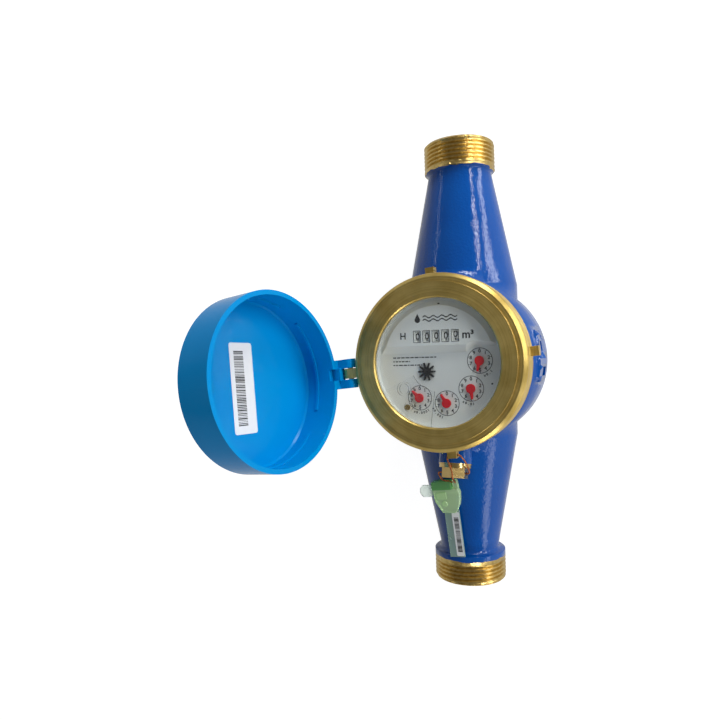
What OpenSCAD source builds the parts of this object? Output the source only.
// Multi-jet water meter with a dry register, threaded pipe ends and a hinged lid.
// Frame: +Z is up out of the dial, the pipe runs along Y, and the origin is the centre of the flat foot.

/* [Pipe ends] */
// Length over both threaded ends
pipe_len = 260; // [240:1:300]
// Height of the pipe axis over the foot
pipe_h = 40; // [38:0.5:44]
// Outer radius of the pipe thread
spigot_r = 20.955; // [20:0.005:22]
// Length of each threaded end
spigot_len = 17; // [15:0.5:22]
// Chamfer on the mouth of each threaded end
spigot_chamfer = 1.2; // [0.5:0.1:2]
// Radius of the water way
bore_r = 13; // [11:0.5:14]
// Radius of the inlet cone behind the thread
inlet_neck_r = 17; // [16.5:0.1:18.5]
// Radius of the inlet cone where it meets the bowl
inlet_cone_r = 30; // [28:0.5:32]
// Radius of the outlet cone behind the thread
outlet_neck_r = 18.8; // [17:0.1:19.6]
// Radius of the outlet cone where it meets the bowl
outlet_cone_r = 32; // [30:0.5:33]

/* [Bowl] */
// How far the bowl's wall stands out past the ring nut's thread
bowl_out = 4.5; // [4:0.1:6]
// Radius of the flat foot
foot_r = 30; // [26:0.5:34]
// Wall of the casting
wall = 5; // [4:0.1:5.5]
// Height of the register's seat over the pipe axis
seat_over = 24; // [22:0.5:28]
// How far the register's seat reaches out past the window opening
seat_out = 5.6; // [5.2:0.1:6.5]
// Wall of the thread that the ring nut screws on
collar_wall = 3; // [2.5:0.1:4]
// How far the cast side panel stands proud
panel_proud = 1.8; // [1:0.1:2.5]

/* [Ring nut] */
// Height of the ring nut's face over the register's seat
register_h = 33.5; // [33:0.1:36]
// Height of the ring nut
ring_h = 16; // [15:0.5:16]
// Wall of the ring nut outside its thread
ring_wall = 4.5; // [4:0.1:6]
// Width of the lid's seat, outside the raised land on its face
land_in = 4.7; // [4.2:0.1:6]
// Drop from the land to the lid's seat
land_step = 1.2; // [0.8:0.1:1.5]
// Radius of the opening over the dial
window_r = 34.4; // [33:0.1:35]
// Thickness of the flange over the window
flange_t = 3.5; // [3:0.1:4]
// How far the ring nut is screwed past the pipe's line
ring_turn = 5.5; // [0:0.5:10]
// Width of each lug
lug_w = 5; // [4:0.1:5.6]
// How far a lug stands out
lug_out = 4.2; // [4:0.1:5]
// Height of a lug
lug_h = 4.6; // [4.2:0.1:5]

/* [Lid] */
// How far the lid lies in from the ring nut's edge
lid_in = 0.9; // [0.3:0.1:1.2]
// Wall of the lid
lid_wall = 2.5; // [2:0.1:2.6]
// Depth of the lid
lid_depth = 22.6; // [20:0.1:26]
// Distance of the hinge pin from the ring nut's edge
hinge_out = 5; // [5:0.1:6.5]
// Drop of the hinge pin under the ring nut's face
hinge_drop = 6.75; // [6.5:0.05:8]
// Radius of the hinge pin
pin_r = 1.5; // [1.2:0.05:1.8]
// Gap between the two hinge ears
ear_gap = 6.5; // [6.4:0.1:7]
// Width of each hinge ear
ear_w = 5; // [4:0.1:6]
// How far the lid is swung open
lid_open = 100.25; // [95:0.25:105]

/* [Register] */
// Depth of the dial's printed face under the ring nut's face
dial_drop = 9; // [8.5:0.1:9.3]
// Rise of the counter's hood over the dial
hood_rise = 3; // [2.4:0.1:3.2]
// Radius of the circle that the small dials stand on
pointer_ring_r = 22; // [21.6:0.1:22.4]
// Angle between two small dials
pointer_step = 40.8; // [40:0.1:41.4]
// Angle of the first small dial
pointer_start = 1.5; // [0:0.5:3]
// Gear module
gear_m = 0.32; // [0.31:0.005:0.325]
// Radius of a number roller
roller_r = 6.3; // [5.8:0.1:6.4]
// Spacing of the number rollers
roller_pitch = 5.25; // [5.1:0.05:5.4]
// Distance of the rollers' axis from the dial's centre
roller_y = 14.1; // [13.6:0.1:14.4]

/* [Measuring chamber] */
// Outer radius of the measuring chamber
chamber_r = 29.8; // [28:0.1:30]
// Radius of the impeller
impeller_r = 23; // [20:0.5:24]
// Number of impeller blades
blades = 9; // [7:1:11]

/* [Adjusting plug and seal] */
// Sideways place of the plug
plug_x = 2.5; // [1:0.5:4]
// Upward tilt of the plug
plug_tilt = 12; // [8:1:18]
// Radius of the plug's flange
plug_flange_r = 8.8; // [8.2:0.1:9.2]
// Radius of the seal wire
wire_r = 0.45; // [0.3:0.05:0.6]
// Width of the seal's body
seal_w = 16; // [14:0.5:17]
// Thickness of the seal's body
seal_t = 5; // [4:0.5:6]
// Width of the seal's flag
flag_w = 8.8; // [7:0.1:10]
// Length of the seal's flag
flag_l = 27; // [24:0.5:27]

/* [Hidden] */
$fn = 96;

// Clearances and small overlaps
eps = 0.01;
run_fit = 0.05;
play = 0.3;

// Radii, from the window outwards
seat_r = window_r + seat_out;
collar_r = seat_r + collar_wall;
ring_r = collar_r + ring_wall;
bowl_r = collar_r + bowl_out;
land_r = ring_r - land_in;
lid_r = ring_r - lid_in;
hinge_r = ring_r + hinge_out;

// Main heights, from the pipe axis up
seat_z = pipe_h + seat_over;
face_z = seat_z + register_h;
dial_z = face_z - dial_drop;
bowl_gap = 0.5;
bowl_top = face_z - ring_h - bowl_gap;

// Pipe
half_len = pipe_len / 2;
spigot_y = half_len - spigot_len;
shoulder_fillet = 2;
shoulder_edge = 0.3;
cone_in = 3.5;
cone_y = bowl_r - cone_in;
passage_step = 1.5;
passage_r = bore_r - passage_step;
passage_bend = 16;
passage_bend_y = bowl_r + passage_bend;
passage_slope = 34;

// Bowl heights, from the foot up
shelf_half = 2;
shelf_low = pipe_h - shelf_half;
shelf_top = pipe_h + shelf_half;
lip_t = 6;
lip_taper = 3;
lip_low = seat_z - lip_t;
cavity_r = bowl_r - wall;
lip_w = 3;
lip_r = seat_r - lip_w;
shelf_gap = 1.5;
shelf_r = chamber_r + shelf_gap;
collar_drop = 7.5;
collar_top = face_z - collar_drop;
bowl_bevel = 2;

// Cast panel on the side of the bowl, and its pockets
panel_y = -12;
panel_l = 28;
panel_h = 21;
panel_z = pipe_h + 8;
pocket_deep = 1;
pocket_low = [-9, 5, 3, 9];
pocket_high = [4, 6, 12, 5];
rivet_y = 12.5;
rivet_rise = 9;
rivet_r = 1.3;
arc_steps = 8;

// Ring nut heights
ring_low = face_z - ring_h;
ring_flange_z = face_z - flange_t;
step_z = face_z - land_step;
front_in = 2;
front_r = ring_r - front_in;
front_bevel = 0.4;
window_bevel = 0.6;
lug_drop = 12;
lug_z = face_z - lug_drop;
lug_hole_out = 2.5;
hinge_z = face_z - hinge_drop;
hinge_lug_w = ear_gap - 3 * play;
hinge_lug_r = 3.6;
groove = 0.5;

// Lid, as it lies closed
rim_z = step_z + play;
lid_inner_r = lid_r - lid_wall;
lid_top = rim_z + lid_depth;
lid_roof = 2.2;
lid_floor = lid_top - lid_roof;
lid_corner = 1;
ear_root = 2;
ledge_h = 1.6;
ledge_angle = 70;
lid_bevel = 2;
ear_rise = 7;
ear_boss_r = 3.4;
ear_y = (ear_gap + ear_w) / 2;
ledge_w = 0.9;
ledge_z = rim_z + lid_depth / 2;
label_size = [15.6, 47.2, 0.2];
label_place = [6.3, -1.5];
label_turn = 2.5;

// Register heights
plate_t = 5.5;
cup_floor = seat_z + plate_t;
cup_gap = 1;
cup_r = seat_r - cup_gap;
cup_wall = 1.5;
slip_t = 0.5;
window_flange_t = 1.6;
window_low = ring_flange_z - slip_t - window_flange_t;
window_drop = 1;
window_top = face_z - window_drop;
slip_in = 0.8;
gear_plate_rise = 6.5;
gear_plate_z = cup_floor + gear_plate_rise;
gear_plate_t = 1.5;
gears_gap = 0.5;
gears_z = gear_plate_z + gear_plate_t + gears_gap;
gear_w = 1.4;
level_step = 2.2;
dial_t = 2;
dial_gap = 0.2;
dial_r = cup_r - cup_wall - dial_gap;
rim_out = 0.4;
rim_r = window_r + rim_out;
hood_z = dial_z + hood_rise;
hood_t = 0.8;
hood_in = 1;
hood_r = window_r - hood_in;
hood_y = 5.1;
hood_slope = 4.1;
shaft_r = 1;
hood_back_y = hood_y + 3;
hood_back_slope = 2.4;
dial_well_r = 8.2;
roller_roof = 0.25;
roller_z = hood_z - hood_t - roller_roof - roller_r;
roller_gap = 0.35;
roller_w = roller_pitch - roller_gap;
rollers = 5;
rollers_x = -0.5;
roller_x0 = rollers_x - roller_pitch * (rollers - 1) / 2;
carry_w = 1.1;
carry_in = 0.2;
carry_deep = 0.8;
roller_rim = 1;
roller_hub_r = 2.2;
roller_hollow = 2;
sight_w = 3.65;
sight_h = 5.8;
shaft_over = 4;
shaft_end = roller_pitch * rollers / 2 + shaft_over;
bracket_w = 2.4;
bracket_d = 6;
post_r = 2;
post_in = 2.6;
axle_r = 0.6;
axle_hole_r = axle_r + run_fit;
pointer_lift = 0.5;
pointer_z = dial_z + pointer_lift;
pointer_t = 1;
pointer_hub_r = 2.5;
pointer_tip = 5.6;
pointer_tip_w = 1;
pointer_root_w = 3;
axle_over = 0.2;
axle_top = pointer_z + pointer_t + axle_over;
star_t = 0.8;
star_r = 4.9;
star_root_r = 1.9;
star_points = 10;
magnet_r = 9;
magnet_t = 4;
magnet_z = cup_floor + cup_wall + play;
idler_in = 1;

// Clear sector cover over the fastest dial, on two feet
cover_low = pointer_z + pointer_t + 0.4;
cover_t = 0.7;
cover_inner = 15.5;
cover_from = 206;
cover_to = 262;
cover_boss_r = 3.9;
cover_boss_wall = 1;
cover_boss_at = 24.3 * [cos(215), sin(215)];
screw_at = 29.6 * [cos(233.5), sin(233.5)];
screw_r = 0.85;
screw_foot_r = 2.4;
screw_head_r = 1.6;
screw_head_t = 0.6;
screw_slot = 0.4;

// Gear train: a pinion drives a large wheel, and that wheel's arbor carries the next pinion
pinion_n = 12;
wheel_n = 36;
idler_n = 40;
wheel_d = gear_m * (pinion_n + wheel_n) / 2;
idler_d = gear_m * (pinion_n + idler_n) / 2;
function polar(r, a) = [r * cos(a), r * sin(a)];
function heading(a, b) = atan2(b[1] - a[1], b[0] - a[0]);
star_at = polar(idler_d, 214.5);
function pointer_at(i) = polar(pointer_ring_r, pointer_start - pointer_step * (i - 1));
// Spindles in the order that they are driven: the star, then the dials from the fastest to the slowest
spindle_at = [star_at, for (i = [4:-1:1]) pointer_at(i)];
// Place of an idler, worked out from its two neighbours by the triangle of centre distances
function idler_at(k) =
    let (a = spindle_at[k], b = spindle_at[k + 1], d = norm(b - a),
        s = (d * d + idler_d * idler_d - wheel_d * wheel_d) / (2 * d),
        h = sqrt(max(0, idler_d * idler_d - s * s)), u = (b - a) / d)
    a + s * u + h * [u[1], -u[0]];
// Height steps of each spindle's wheel and pinion, so that no wheel meets a stranger
wheel_level = [0, 2, 1, 0, 2];
pinion_level = [1, 0, 2, 1];
function level_z(n) = gears_z + n * level_step;
// The star's wheel is as large as an idler's, and the dials' wheels are a little smaller
function wheel_teeth(k) = k == 0 ? idler_n : wheel_n;
// Turn of a driven gear that puts a gap where the driving pinion's tooth stands
function mesh_turn(a, n) = a + 180 - (0.5 - a * pinion_n / 360) * 360 / n;
pointer_turn = [258, 277, 123, 135];

// Measuring chamber heights
chamber_z = 14;
chamber_floor_t = 2;
chamber_flange_w = 2.5;
chamber_flange_r = shelf_r + chamber_flange_w;
chamber_boss_r = 4;
chamber_boss_h = 4;
port_in = 7;
port_r = 3;
ports = 8;
port_rise = 10;
upper_port_rise = 6;
chamber_flange_t = 2;
upper_z = shelf_top + chamber_flange_t;
chamber_crown = 2.5;
chamber_top = seat_z - chamber_crown;
chamber_roof = 2;
chamber_wall = 2.2;
crown_gap = 3;
strainer_t = 0.9;
strainer_in_r = chamber_r + 0.2;
strainer_hole_r = 1.8;
strainer_row = 6.5;
strainer_first = 5;
impeller_rise = 6;
impeller_z = chamber_z + impeller_rise;
impeller_h = 19;
pivot_r = 1;
pivot_l = 12;
pivot_top = chamber_z + pivot_l;
pivot_deep = 5;
rotor_shaft_r = 2.6;
rotor_magnet_r = 8;
blade_t = 1.4;
blade_root = 3;
blade_low = 1.5;
blade_short = 5;
hub_r = 5;
membrane_t = 1.5;
rotor_lift = 0.6;
rotor_pocket = 2;
ring_groove = [2, 1.2];
ring_groove_out = 1.5;
seal_ring_w = 1.8;
seal_ring_t = 1.1;
seal_ring_out = 0.6;

// Adjusting plug
plug_out = 9;
plug_drop = 7;
plug_seat = [plug_x, -(bowl_r + plug_out), bowl_top - plug_drop];
plug_shank_r = 5.5;
plug_shank_l = 9;
plug_flange_t = 1.8;
plug_washer_t = 0.7;
plug_hex_r = 7.4;
plug_hex_l = 5.6;
boss_wall = 0.4;
boss_r = plug_flange_r + boss_wall;
boss_l = 18;
shank_gap = 1;
plug_washer_out = 0.3;
spot_r = plug_flange_r + plug_washer_out + play;
wire_hole_r = 1.1;
wire_hole_l = plug_washer_t + plug_flange_t + plug_hex_l / 2;

// Seal, in its own frame: u across, v down the flag, w up off the pipe
seal_place = [-5.5, -(bowl_r + 20.5), pipe_h + 26];
seal_turn = 4.5;
seal_slope = 5.7;
seal_l = 18;
flag_t = 1.6;
flag_x = 1.1;
rotor_r = 1.7;
rotor_out = 1;
wing_l = 8;
wing_t = 1.2;
wing_in = 0.6;

// Route of the seal wire: out of the seal, through the plug's head and the ring nut's lug, and back
lug_hole = [(ring_r + lug_hole_out) * sin(ring_turn), -(ring_r + lug_hole_out) * cos(ring_turn), lug_z];
plug_hole = plug_seat + wire_hole_l * [0, -cos(plug_tilt), sin(plug_tilt)];
function from(place, steps) = [for (q = steps) place + q];
wire_route = concat(
    from(seal_place, [[6.1, -0.7, 2.5], [6.4, 0.9, 5.5]]),
    from(plug_hole, [[-0.5, -3.7, 0.9], [0.7, -2.9, 5.9], [1.1, -0.8, 8.6], [0.9, 2.2, 8.9],
        [0.1, 5.7, 9.5]]),
    from(lug_hole, [[-3.3, -2.8, -0.3], [-2.87, -0.7, 0], [-2.47, -0.33, 0], [0.03, -0.03, 0],
        [2.53, 0.17, 0], [4.1, -0.7, -0.5], [5.5, -3.5, -2.9]]),
    from(plug_hole, [[8.7, 4.7, 4.9], [8.7, 1.7, 1.9], [7.7, 0.1, 0.2], [5.5, 0, 0], [1.5, 0, 0],
        [-2.5, 0, 0], [-6.5, 0, 0], [-8.9, -0.1, -0.1], [-9.9, -1.3, -1.3]]),
    from(seal_place, [[-0.5, 1.5, 5.8], [2.5, 0.5, 4.4], [4.9, -0.3, 3]]));

// Shared shapes
module turned() rotate([0, 0, ring_turn]) children();

module along_y() rotate([-90, 0, 0]) children();

module tube(r_out, r_in, z0, z1) {
    translate([0, 0, z0]) difference() {
        cylinder(r = r_out, h = z1 - z0);
        translate([0, 0, -eps]) cylinder(r = r_in, h = z1 - z0 + 2 * eps);
    }
}

module at_plug() translate(plug_seat) rotate([90 - plug_tilt, 0, 0]) children();

module at_seal() translate(seal_place) rotate([seal_slope, 0, seal_turn]) children();

module lid_swing() {
    turned() translate([-hinge_r, 0, hinge_z]) rotate([0, -lid_open, 0]) translate([hinge_r, 0, -hinge_z])
        children();
}

// A spur gear with straight-sided teeth, a little thinner than the gaps
module gear(n, z0, turn = 0) {
    pitch = 360 / n;
    r = gear_m * n / 2;
    tip = r + 0.75 * gear_m;
    root = r - 0.95 * gear_m;
    translate([0, 0, z0]) rotate([0, 0, turn]) linear_extrude(gear_w)
        polygon([for (i = [0:n - 1], c = [[root, -0.33], [tip, -0.1], [tip, 0.1], [root, 0.33]])
            polar(c[0], (i + c[1]) * pitch)]);
}

module axle(z0, z1, r = axle_r) translate([0, 0, z0]) cylinder(r = r, h = z1 - z0, $fn = 24);

// Outline of the bowl's quarter arc between the foot and the straight wall
function bowl_arc(r0, r1, z0, z1) =
    [for (i = [0:arc_steps]) let (t = 90 * i / arc_steps)
        [r0 + (r1 - r0) * sin(t), z0 + (z1 - z0) * (1 - cos(t))]];

// Body casting
module pipe_half_profile(cone_r, neck_r) {
    f = min(shoulder_fillet, spigot_r - shoulder_edge - neck_r);
    polygon([[0, 0], [cone_r, 0], [cone_r, cone_y], [neck_r, spigot_y - f],
        [neck_r + 0.3 * f, spigot_y - 0.3 * f], [neck_r + f, spigot_y], [spigot_r - shoulder_edge, spigot_y],
        [spigot_r, spigot_y + shoulder_edge], [spigot_r, half_len - spigot_chamfer],
        [spigot_r - spigot_chamfer, half_len], [0, half_len]]);
}

module pipe_run() {
    translate([0, 0, pipe_h]) {
        along_y() rotate_extrude() pipe_half_profile(outlet_cone_r, outlet_neck_r);
        rotate([0, 0, 180]) along_y() rotate_extrude() pipe_half_profile(inlet_cone_r, inlet_neck_r);
    }
}

module bowl() {
    rotate_extrude() polygon(concat([[0, 0]], bowl_arc(foot_r, bowl_r, 0, shelf_low),
        [[bowl_r, bowl_top - bowl_bevel], [bowl_r - bowl_bevel, bowl_top], [collar_r, bowl_top],
            [collar_r, collar_top], [0, collar_top]]));
}

module side_panel() {
    intersection() {
        cylinder(r = bowl_r + panel_proud, h = bowl_top);
        translate([bowl_r - wall, panel_y, panel_z]) cube([2 * wall, panel_l, panel_h]);
    }
}

module plug_boss() at_plug() translate([0, 0, -boss_l]) cylinder(r = boss_r, h = boss_l);

module water_ways() {
    translate([0, 0, pipe_h]) for (s = [0, 180]) rotate([0, 0, s]) along_y()
        translate([0, 0, passage_bend_y]) cylinder(r = bore_r, h = half_len);
    passage(-1, -90 - passage_slope);
    passage(1, 90 - passage_slope);
}

// A slanted passage: the inlet runs down under the shelf, and the outlet comes up from over it
module passage(side, turn) {
    translate([0, side * passage_bend_y, pipe_h]) rotate([turn, 0, 0])
        cylinder(r = passage_r, h = (passage_bend_y - chamber_r) / cos(passage_slope));
}

module bowl_cavity() {
    rotate_extrude() polygon(concat([[0, wall]], bowl_arc(foot_r - wall, cavity_r, wall, shelf_low),
        [[shelf_r, shelf_low], [shelf_r, shelf_top], [cavity_r, shelf_top], [cavity_r, lip_low - lip_taper],
            [lip_r, lip_low], [lip_r, seat_z], [seat_r, seat_z],
            [seat_r, collar_top + eps], [0, collar_top + eps]]));
}

module panel_pockets() {
    for (k = [pocket_low, pocket_high])
        translate([bowl_r - pocket_deep, k[0], panel_z + k[2]]) cube([wall, k[1], k[3]]);
    translate([bowl_r - 2 * pocket_deep, rivet_y, panel_z + rivet_rise]) rotate([0, 90, 0])
        cylinder(r = rivet_r, h = 2 * wall, $fn = 24);
}

module body() color("royalblue") difference() {
    union() {
        pipe_run();
        bowl();
        side_panel();
        plug_boss();
    }
    bowl_cavity();
    water_ways();
    panel_pockets();
    at_plug() translate([0, 0, -plug_shank_l - shank_gap])
        cylinder(r = plug_shank_r + run_fit, h = boss_l, $fn = 48);
    at_plug() cylinder(r = spot_r, h = plug_washer_t + plug_flange_t + plug_hex_l);
}

// Ring nut
module ring_profile() {
    polygon([[window_r, ring_flange_z], [window_r, face_z - window_bevel], [window_r + window_bevel, face_z],
        [land_r, face_z], [land_r, step_z], [front_r, step_z],
        [ring_r - front_bevel, step_z - 3 * front_bevel], [ring_r, step_z - 5 * front_bevel],
        for (z = [lug_z + lug_h / 2 + 4.4 * groove, lug_z - lug_h / 2 - 2 * groove],
            c = [[0, groove], [-groove, 0], [0, -groove]]) [ring_r + c[0], z + c[1]],
        [ring_r, ring_low], [collar_r + run_fit, ring_low], [collar_r + run_fit, collar_top + play],
        [cup_r + 2 * play, collar_top + play], [cup_r + 2 * play, ring_flange_z]]);
}

module lug(angle) {
    rotate([0, 0, angle]) translate([ring_r - front_in, -lug_w / 2, lug_z - lug_h / 2])
        cube([lug_out + front_in, lug_w, lug_h]);
}

module hinge_lug() {
    translate([-hinge_r, -hinge_lug_w / 2, hinge_z]) along_y()
        cylinder(r = hinge_lug_r, h = hinge_lug_w, $fn = 48);
    translate([-hinge_r, -hinge_lug_w / 2, hinge_z - hinge_lug_r])
        cube([hinge_r - ring_r + front_in, hinge_lug_w, 2 * hinge_lug_r]);
}

module ring_nut() color("darkgoldenrod") turned() difference() {
    union() {
        rotate_extrude() ring_profile();
        for (angle = [0, 90, 270]) lug(angle);
        hinge_lug();
    }
    translate([-hinge_r, 0, hinge_z]) rotate([90, 0, 0])
        cylinder(r = pin_r + run_fit, h = 2 * ear_gap, center = true, $fn = 48);
    translate([0, -ring_r - lug_hole_out, lug_z]) rotate([0, 90, 0])
        cylinder(r = wire_hole_r, h = 2 * lug_w, center = true, $fn = 24);
}

// Window and register
module slip_ring() color("black") tube(cup_r, window_r + slip_in, ring_flange_z - slip_t,
    ring_flange_z);

module window() color("lightcyan", 0.35) rotate_extrude() polygon([[0, window_low], [cup_r, window_low],
    [cup_r, window_low + window_flange_t], [window_r - play, window_low + window_flange_t],
    [window_r - play, window_top - slip_t], [window_r - play - slip_t, window_top], [0, window_top]]);

module register_cup() color("gainsboro") rotate_extrude() polygon([[0, cup_floor], [cup_r, cup_floor],
    [cup_r, window_low], [cup_r - cup_wall, window_low], [cup_r - cup_wall, gear_plate_z],
    [cup_r - 2 * cup_wall, gear_plate_z], [cup_r - 2 * cup_wall, cup_floor + cup_wall],
    [0, cup_floor + cup_wall]]);

module dial_hood() {
    difference() {
        intersection() {
            translate([0, 0, dial_z - eps])
                cylinder(r1 = hood_r, r2 = hood_r - hood_rise, h = hood_rise + eps);
            union() {
                hood_front(hood_y, hood_slope, -hood_r, 3 * hood_r / 4);
                hood_front(hood_back_y, hood_back_slope, hood_r / 2, hood_r);
            }
        }
        translate([pointer_at(1)[0], pointer_at(1)[1], dial_z])
            cylinder(r1 = dial_well_r, r2 = dial_well_r + hood_back_slope, h = hood_rise + eps);
    }
}

// A block with a sloping front face, behind which the hood stands
module hood_front(y, slope, x0, x1) {
    translate([x0, 0, 0]) rotate([90, 0, 90]) linear_extrude(x1 - x0)
        polygon([[y, dial_z - eps], [y + slope, hood_z], [hood_r, hood_z], [hood_r, dial_z - eps]]);
}

module dial_plate() color("whitesmoke") difference() {
    union() {
        translate([0, 0, dial_z - dial_t]) cylinder(r = dial_r, h = dial_t);
        tube(dial_r, rim_r, dial_z - dial_t, window_low);
        dial_hood();
    }
    translate([-shaft_end - bracket_w, roller_y, roller_z]) rotate([0, 90, 0])
        cylinder(r = roller_r + play, h = 2 * (shaft_end + bracket_w));
    for (i = [0:rollers - 1]) translate([roller_x0 + i * roller_pitch, roller_y, hood_z])
        cube([sight_w, sight_h, 3 * hood_t], center = true);
    for (p = spindle_at) translate([p[0], p[1], 0]) axle(0, 2 * dial_z, axle_hole_r);
    for (k = [0:3]) translate([idler_at(k)[0], idler_at(k)[1], 0]) axle(0, dial_z - dial_t + idler_in,
        axle_hole_r);
}

module roller_brackets() {
    for (s = [-1, 1])
        translate([s * (shaft_end - bracket_w / 2) - bracket_w / 2, roller_y - bracket_d / 2, gear_plate_z])
            cube([bracket_w, bracket_d, roller_z - gear_plate_z + bracket_d / 2]);
}

module gear_plate() color("silver") difference() {
    union() {
        translate([0, 0, gear_plate_z]) cylinder(r = dial_r, h = gear_plate_t);
        roller_brackets();
        for (a = [60, 150, 205, 330]) rotate([0, 0, a]) translate([dial_r - post_in, 0, gear_plate_z])
            cylinder(r = post_r, h = dial_z - dial_t - gear_plate_z, $fn = 32);
    }
    axle(0, 2 * gear_plate_z, shaft_r + run_fit);
    for (p = spindle_at) translate([p[0], p[1], 0]) axle(0, gears_z, axle_hole_r);
    for (k = [0:3]) translate([idler_at(k)[0], idler_at(k)[1], 0]) axle(0, gears_z, axle_hole_r);
    translate([0, roller_y, roller_z]) rotate([0, 90, 0])
        cylinder(r = shaft_r, h = 4 * shaft_end, center = true, $fn = 24);
}

module roller_shaft() color("silver") translate([-shaft_end, roller_y, roller_z]) rotate([0, 90, 0])
    cylinder(r = shaft_r, h = 2 * shaft_end, $fn = 24);

// A number roller: a drum with a carry rim of teeth at one side and a hollow at the other
module roller(i) color("white") translate([roller_x0 + (i - 1) * roller_pitch, roller_y, roller_z])
    rotate([0, 90, 0]) difference() {
        union() {
            translate([0, 0, -roller_w / 2]) cylinder(r = roller_r, h = roller_w - carry_w);
            translate([0, 0, roller_w / 2 - carry_w - eps]) linear_extrude(carry_w)
                polygon([for (k = [0:19], c = [-0.34, 0.34])
                    polar(roller_r - carry_in - (k % 2) * carry_deep, (k + c) * 18)]);
        }
        cylinder(r = shaft_r + run_fit, h = 2 * roller_w, center = true, $fn = 24);
        translate([0, 0, -roller_w / 2 - eps]) difference() {
            cylinder(r = roller_r - roller_rim, h = roller_hollow);
            cylinder(r = roller_hub_r, h = roller_hollow, $fn = 32);
        }
    }

module drive_magnet() color("dimgray") {
    translate([0, 0, magnet_z]) cylinder(r = magnet_r, h = magnet_t);
    axle(magnet_z + magnet_t - eps, gears_z + eps, shaft_r);
    gear(pinion_n, gears_z);
}

// A spindle of the train: one wheel, one pinion except on the last, and an axle through the dial
module spindle(k, driver) {
    translate([spindle_at[k][0], spindle_at[k][1], 0]) {
        axle(gear_plate_z + play, axle_top);
        gear(wheel_teeth(k), level_z(wheel_level[k]),
            mesh_turn(heading(driver, spindle_at[k]), wheel_teeth(k)));
        if (k < 4) gear(pinion_n, level_z(pinion_level[k]));
    }
}

module star_spindle() color("white") spindle(0, [0, 0]);

module dial_spindle(i) color("white") spindle(5 - i, idler_at(4 - i));

module idler(i) color("ivory") {
    k = 4 - i;
    translate([idler_at(k)[0], idler_at(k)[1], 0]) {
        axle(gear_plate_z + play, dial_z - dial_t + idler_in - play);
        gear(idler_n, level_z(pinion_level[k]), mesh_turn(heading(spindle_at[k], idler_at(k)), idler_n));
        gear(pinion_n, level_z(wheel_level[k + 1]));
    }
}

module star() color("black") translate([star_at[0], star_at[1], pointer_z - axle_over]) difference() {
    linear_extrude(star_t) polygon([for (i = [0:star_points - 1],
        c = [[star_root_r, -0.5], [star_r, -0.13], [star_r, 0.13]])
            polar(c[0], (i + c[1]) * 360 / star_points)]);
    axle(-star_t, 2 * star_t);
}

module pointer(i) color("crimson") translate([pointer_at(i)[0], pointer_at(i)[1], pointer_z])
    rotate([0, 0, pointer_turn[i - 1]]) difference() {
        linear_extrude(pointer_t) union() {
            circle(r = pointer_hub_r);
            for (m = [0, 1]) mirror([0, m]) polygon([[0, -eps], [0, pointer_root_w / 2],
                [0.88 * pointer_hub_r, 0.75 * pointer_tip_w], [pointer_tip, pointer_tip_w / 2],
                [pointer_tip, -eps]]);
        }
        axle(-pointer_t, 2 * pointer_t);
    }

module pulse_cover() color("white", 0.4) difference() {
    union() {
        rotate([0, 0, cover_from]) rotate_extrude(angle = cover_to - cover_from)
            translate([cover_inner, cover_low]) square([rim_r - play - cover_inner, cover_t]);
        translate([screw_at[0], screw_at[1], dial_z])
            cylinder(r = screw_foot_r, h = cover_low - dial_z + eps, $fn = 32);
        translate([cover_boss_at[0], cover_boss_at[1], 0])
            tube(cover_boss_r, cover_boss_r - cover_boss_wall, dial_z, cover_low + cover_t);
    }
    translate([screw_at[0], screw_at[1], 0]) axle(0, 2 * dial_z, screw_r + run_fit);
    translate([cover_boss_at[0], cover_boss_at[1], 0]) axle(0, 2 * dial_z, cover_boss_r - cover_boss_wall);
}

module cover_screw() color("goldenrod") translate([screw_at[0], screw_at[1], 0]) difference() {
    union() {
        axle(dial_z, cover_low + cover_t, screw_r);
        translate([0, 0, cover_low + cover_t]) cylinder(r = screw_head_r, h = screw_head_t, $fn = 32);
    }
    translate([0, 0, cover_low + cover_t + screw_head_t])
        cube([3 * screw_head_r, screw_slot, screw_head_t], center = true);
}

// Measuring chamber
module pressure_plate() color("slategray") difference() {
    translate([0, 0, seat_z]) cylinder(r = seat_r - run_fit, h = plate_t);
    translate([0, 0, seat_z - eps]) cylinder(r = rotor_magnet_r + rotor_pocket, h = plate_t - membrane_t);
    rotate_extrude() translate([lip_r + ring_groove_out, seat_z])
        square([ring_groove[0], 2 * ring_groove[1]], center = true);
}

module seal_ring() color("black") tube(lip_r + seal_ring_out + seal_ring_w, lip_r + seal_ring_out,
    seat_z, seat_z + seal_ring_t);

// Slanted ports that make the jets, set out round the chamber
module chamber_ports(z) {
    for (i = [0:ports - 1]) rotate([0, 0, i * 360 / ports]) translate([chamber_r - port_in, 0, z])
        rotate([90, 0, 0]) cylinder(r = port_r, h = 2 * chamber_r, $fn = 24);
}

module chamber_lower() color("gainsboro") difference() {
    union() {
        tube(chamber_r, chamber_r - chamber_wall, chamber_z, shelf_top + eps);
        translate([0, 0, chamber_z]) cylinder(r = chamber_r, h = chamber_floor_t);
        tube(chamber_flange_r, chamber_r - chamber_wall, shelf_top, shelf_top + chamber_flange_t);
        translate([0, 0, chamber_z]) cylinder(r = chamber_boss_r, h = chamber_boss_h, $fn = 32);
    }
    chamber_ports(chamber_z + port_rise);
    axle(chamber_z - eps, chamber_z + pivot_deep, pivot_r);
}

module chamber_upper() color("whitesmoke") difference() {
    union() {
        tube(chamber_r, chamber_r - chamber_wall, upper_z, chamber_top);
        translate([0, 0, chamber_top - chamber_roof]) cylinder(r = chamber_r, h = chamber_roof);
        tube(chamber_r, rotor_magnet_r + crown_gap, chamber_top - eps, seat_z);
    }
    chamber_ports(upper_z + upper_port_rise);
    axle(upper_z, seat_z, rotor_shaft_r + run_fit);
}

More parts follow.
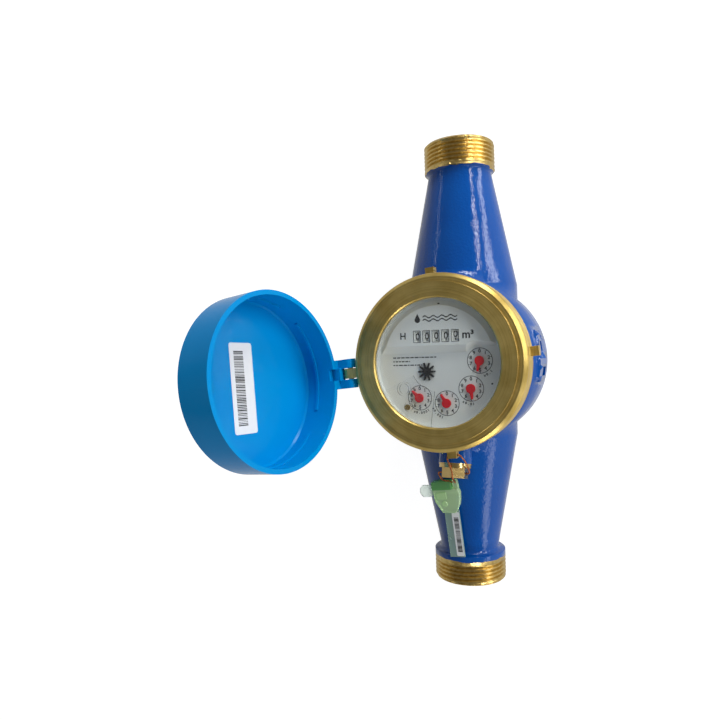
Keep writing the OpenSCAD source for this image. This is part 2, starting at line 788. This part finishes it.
module strainer() color("lightgray") difference() {
    tube(strainer_in_r + strainer_t, strainer_in_r, chamber_z, shelf_low);
    for (i = [0:23], j = [0:2]) rotate([0, 0, i * 15])
        translate([chamber_r - chamber_wall, 0, chamber_z + strainer_first + strainer_row * j])
            rotate([0, 90, 0]) cylinder(r = strainer_hole_r, h = 3 * chamber_wall, $fn = 16);
}

module pivot_pin() color("silver") axle(chamber_z, pivot_top, pivot_r);

module impeller() color("orange") difference() {
    union() {
        translate([0, 0, impeller_z]) cylinder(r = hub_r, h = impeller_h);
        for (i = [0:blades - 1]) rotate([0, 0, i * 360 / blades])
            translate([blade_root, -blade_t / 2, impeller_z + blade_low])
                cube([impeller_r - blade_root, blade_t, impeller_h - blade_short]);
        axle(impeller_z + impeller_h - eps, chamber_top + rotor_lift, rotor_shaft_r);
    }
    axle(impeller_z - eps, pivot_top + play, pivot_r + run_fit);
}

module impeller_magnet() color("dimgray")
    translate([0, 0, chamber_top + rotor_lift])
        cylinder(r = rotor_magnet_r, h = seat_z + plate_t - membrane_t - play - chamber_top - rotor_lift);

// Adjusting plug, seal wire and seal
module plug_washer() color("darkgoldenrod") at_plug()
    tube(plug_flange_r + plug_washer_out, plug_shank_r + run_fit, 0, plug_washer_t);

module adjusting_plug() color("goldenrod") at_plug() difference() {
    union() {
        translate([0, 0, -plug_shank_l])
            cylinder(r = plug_shank_r, h = plug_shank_l + plug_washer_t + eps, $fn = 48);
        translate([0, 0, plug_washer_t]) cylinder(r = plug_flange_r, h = plug_flange_t);
        translate([0, 0, plug_washer_t + plug_flange_t - eps]) rotate([0, 0, 30])
            cylinder(r = plug_hex_r, h = plug_hex_l, $fn = 6);
    }
    translate([0, 0, wire_hole_l]) rotate([0, 90, 0])
        cylinder(r = wire_hole_r, h = 4 * plug_flange_r, center = true, $fn = 24);
}

// A round wire swept along a list of points
function unit(v) = v / norm(v);
function route_heading(p, i) = unit(p[min(i + 1, len(p) - 1)] - p[max(i - 1, 0)]);
module swept_wire(p, r, sides = 8) {
    n = len(p);
    points = [for (i = [0:n - 1])
        let (t = route_heading(p, i), u = unit(cross(t, [0.3, 0.5, 0.81])), v = cross(u, t))
        for (s = [0:sides - 1]) p[i] + r * (u * cos(360 * s / sides) + v * sin(360 * s / sides))];
    walls = [for (i = [0:n - 2], s = [0:sides - 1]) let (e = (s + 1) % sides)
        [i * sides + s, i * sides + e, (i + 1) * sides + e, (i + 1) * sides + s]];
    ends = [[for (s = [sides - 1:-1:0]) s], [for (s = [0:sides - 1]) (n - 1) * sides + s]];
    polyhedron(points, concat(ends, walls));
}

module seal_wire() color("peru") swept_wire(wire_route, wire_r);

module seal_body() color("limegreen") at_seal() difference() {
    union() {
        linear_extrude(seal_t) polygon([[-seal_w / 2, 0], [seal_w / 2 - 1, 1], [seal_w / 2, -0.3 * seal_l],
            [seal_w / 2 - 1, -0.75 * seal_l], [flag_x + flag_w / 2 - 1, -seal_l],
            [flag_x - flag_w / 2, -seal_l],
            [-seal_w / 2 + 1, -0.65 * seal_l]]);
        translate([flag_x - flag_w / 2, -seal_l - flag_l, 0]) cube([flag_w, flag_l + eps, flag_t]);
    }
    translate([-seal_w, -0.3 * seal_l, seal_t / 2]) rotate([0, 90, 0])
        cylinder(r = rotor_r + run_fit, h = 1.5 * seal_w, $fn = 32);
}

module seal_rotor() color("honeydew", 0.6) at_seal() translate([0, -0.3 * seal_l, seal_t / 2]) {
    translate([-seal_w / 2 - rotor_out, 0, 0]) rotate([0, 90, 0]) cylinder(r = rotor_r, h = seal_w, $fn = 32);
    translate([-seal_w / 2 - 0.8 * rotor_out, 0, 0]) intersection() {
        translate([-wing_l / 2 + rotor_out, 0, 0])
            cylinder(r = wing_l / 2, h = wing_t, center = true, $fn = 32);
        translate([-wing_l, -wing_l / 2 + wing_in, -wing_t]) cube([wing_l, wing_l - 2 * wing_in, 2 * wing_t]);
    }
}

// Lid, hinge pin and label
module lid_shell() rotate_extrude() polygon([[0, lid_floor], [lid_inner_r - lid_corner, lid_floor],
    [lid_inner_r, lid_floor - lid_corner], [lid_inner_r, rim_z], [lid_r, rim_z], [lid_r, lid_top - lid_bevel],
    [lid_r - lid_bevel, lid_top], [0, lid_top]]);

module lid_ledges() for (a = [45:90:315]) rotate([0, 0, a]) rotate_extrude(angle = ledge_angle)
    translate([lid_inner_r - ledge_w, ledge_z]) square([ledge_w + eps, ledge_h]);

module ears() for (s = [-1, 1]) translate([0, s * ear_y + ear_w / 2, 0]) rotate([90, 0, 0])
    linear_extrude(ear_w) union() {
        translate([-hinge_r, hinge_z]) circle(r = ear_boss_r);
        polygon([[-hinge_r - ear_boss_r, hinge_z], [-hinge_r + ear_boss_r, hinge_z],
            [-hinge_r + ear_boss_r, rim_z], [-lid_r + ear_root, rim_z], [-lid_r + ear_root, rim_z + ear_rise],
            [-lid_r - ear_root / 2, rim_z + ear_rise], [-hinge_r - ear_boss_r, rim_z]]);
    }

module lid() color("deepskyblue") lid_swing() difference() {
    union() {
        lid_shell();
        lid_ledges();
        ears();
    }
    translate([-hinge_r, 0, hinge_z]) rotate([90, 0, 0])
        cylinder(r = pin_r, h = 4 * ear_gap, center = true, $fn = 48);
    translate([-lid_r - ear_root, -ear_gap / 2, rim_z - ear_root])
        cube([lid_wall + 2 * ear_root, ear_gap, ear_rise - ear_root]);
}

module hinge_pin() color("silver") lid_swing() translate([-hinge_r, 0, hinge_z]) rotate([90, 0, 0])
    cylinder(r = pin_r, h = 2 * ear_w + ear_gap, center = true, $fn = 48);

module lid_label() color("white") lid_swing()
    translate([label_place[0], label_place[1], lid_floor - label_size[2] / 2]) rotate([0, 0, label_turn])
        cube(label_size, center = true);

body();
ring_nut();
slip_ring();
window();
register_cup();
dial_plate();
gear_plate();
roller_shaft();
roller(1);  // roller_1
roller(2);  // roller_2
roller(3);  // roller_3
roller(4);  // roller_4
roller(5);  // roller_5
drive_magnet();
star_spindle();
star();
dial_spindle(1);  // spindle_1
dial_spindle(2);  // spindle_2
dial_spindle(3);  // spindle_3
dial_spindle(4);  // spindle_4
pointer(1);  // pointer_1
pointer(2);  // pointer_2
pointer(3);  // pointer_3
pointer(4);  // pointer_4
idler(1);  // idler_1
idler(2);  // idler_2
idler(3);  // idler_3
idler(4);  // idler_4
pulse_cover();
cover_screw();
pressure_plate();
seal_ring();
chamber_lower();
chamber_upper();
strainer();
pivot_pin();
impeller();
impeller_magnet();
adjusting_plug();
plug_washer();
seal_wire();
seal_body();
seal_rotor();
lid();
hinge_pin();
lid_label();
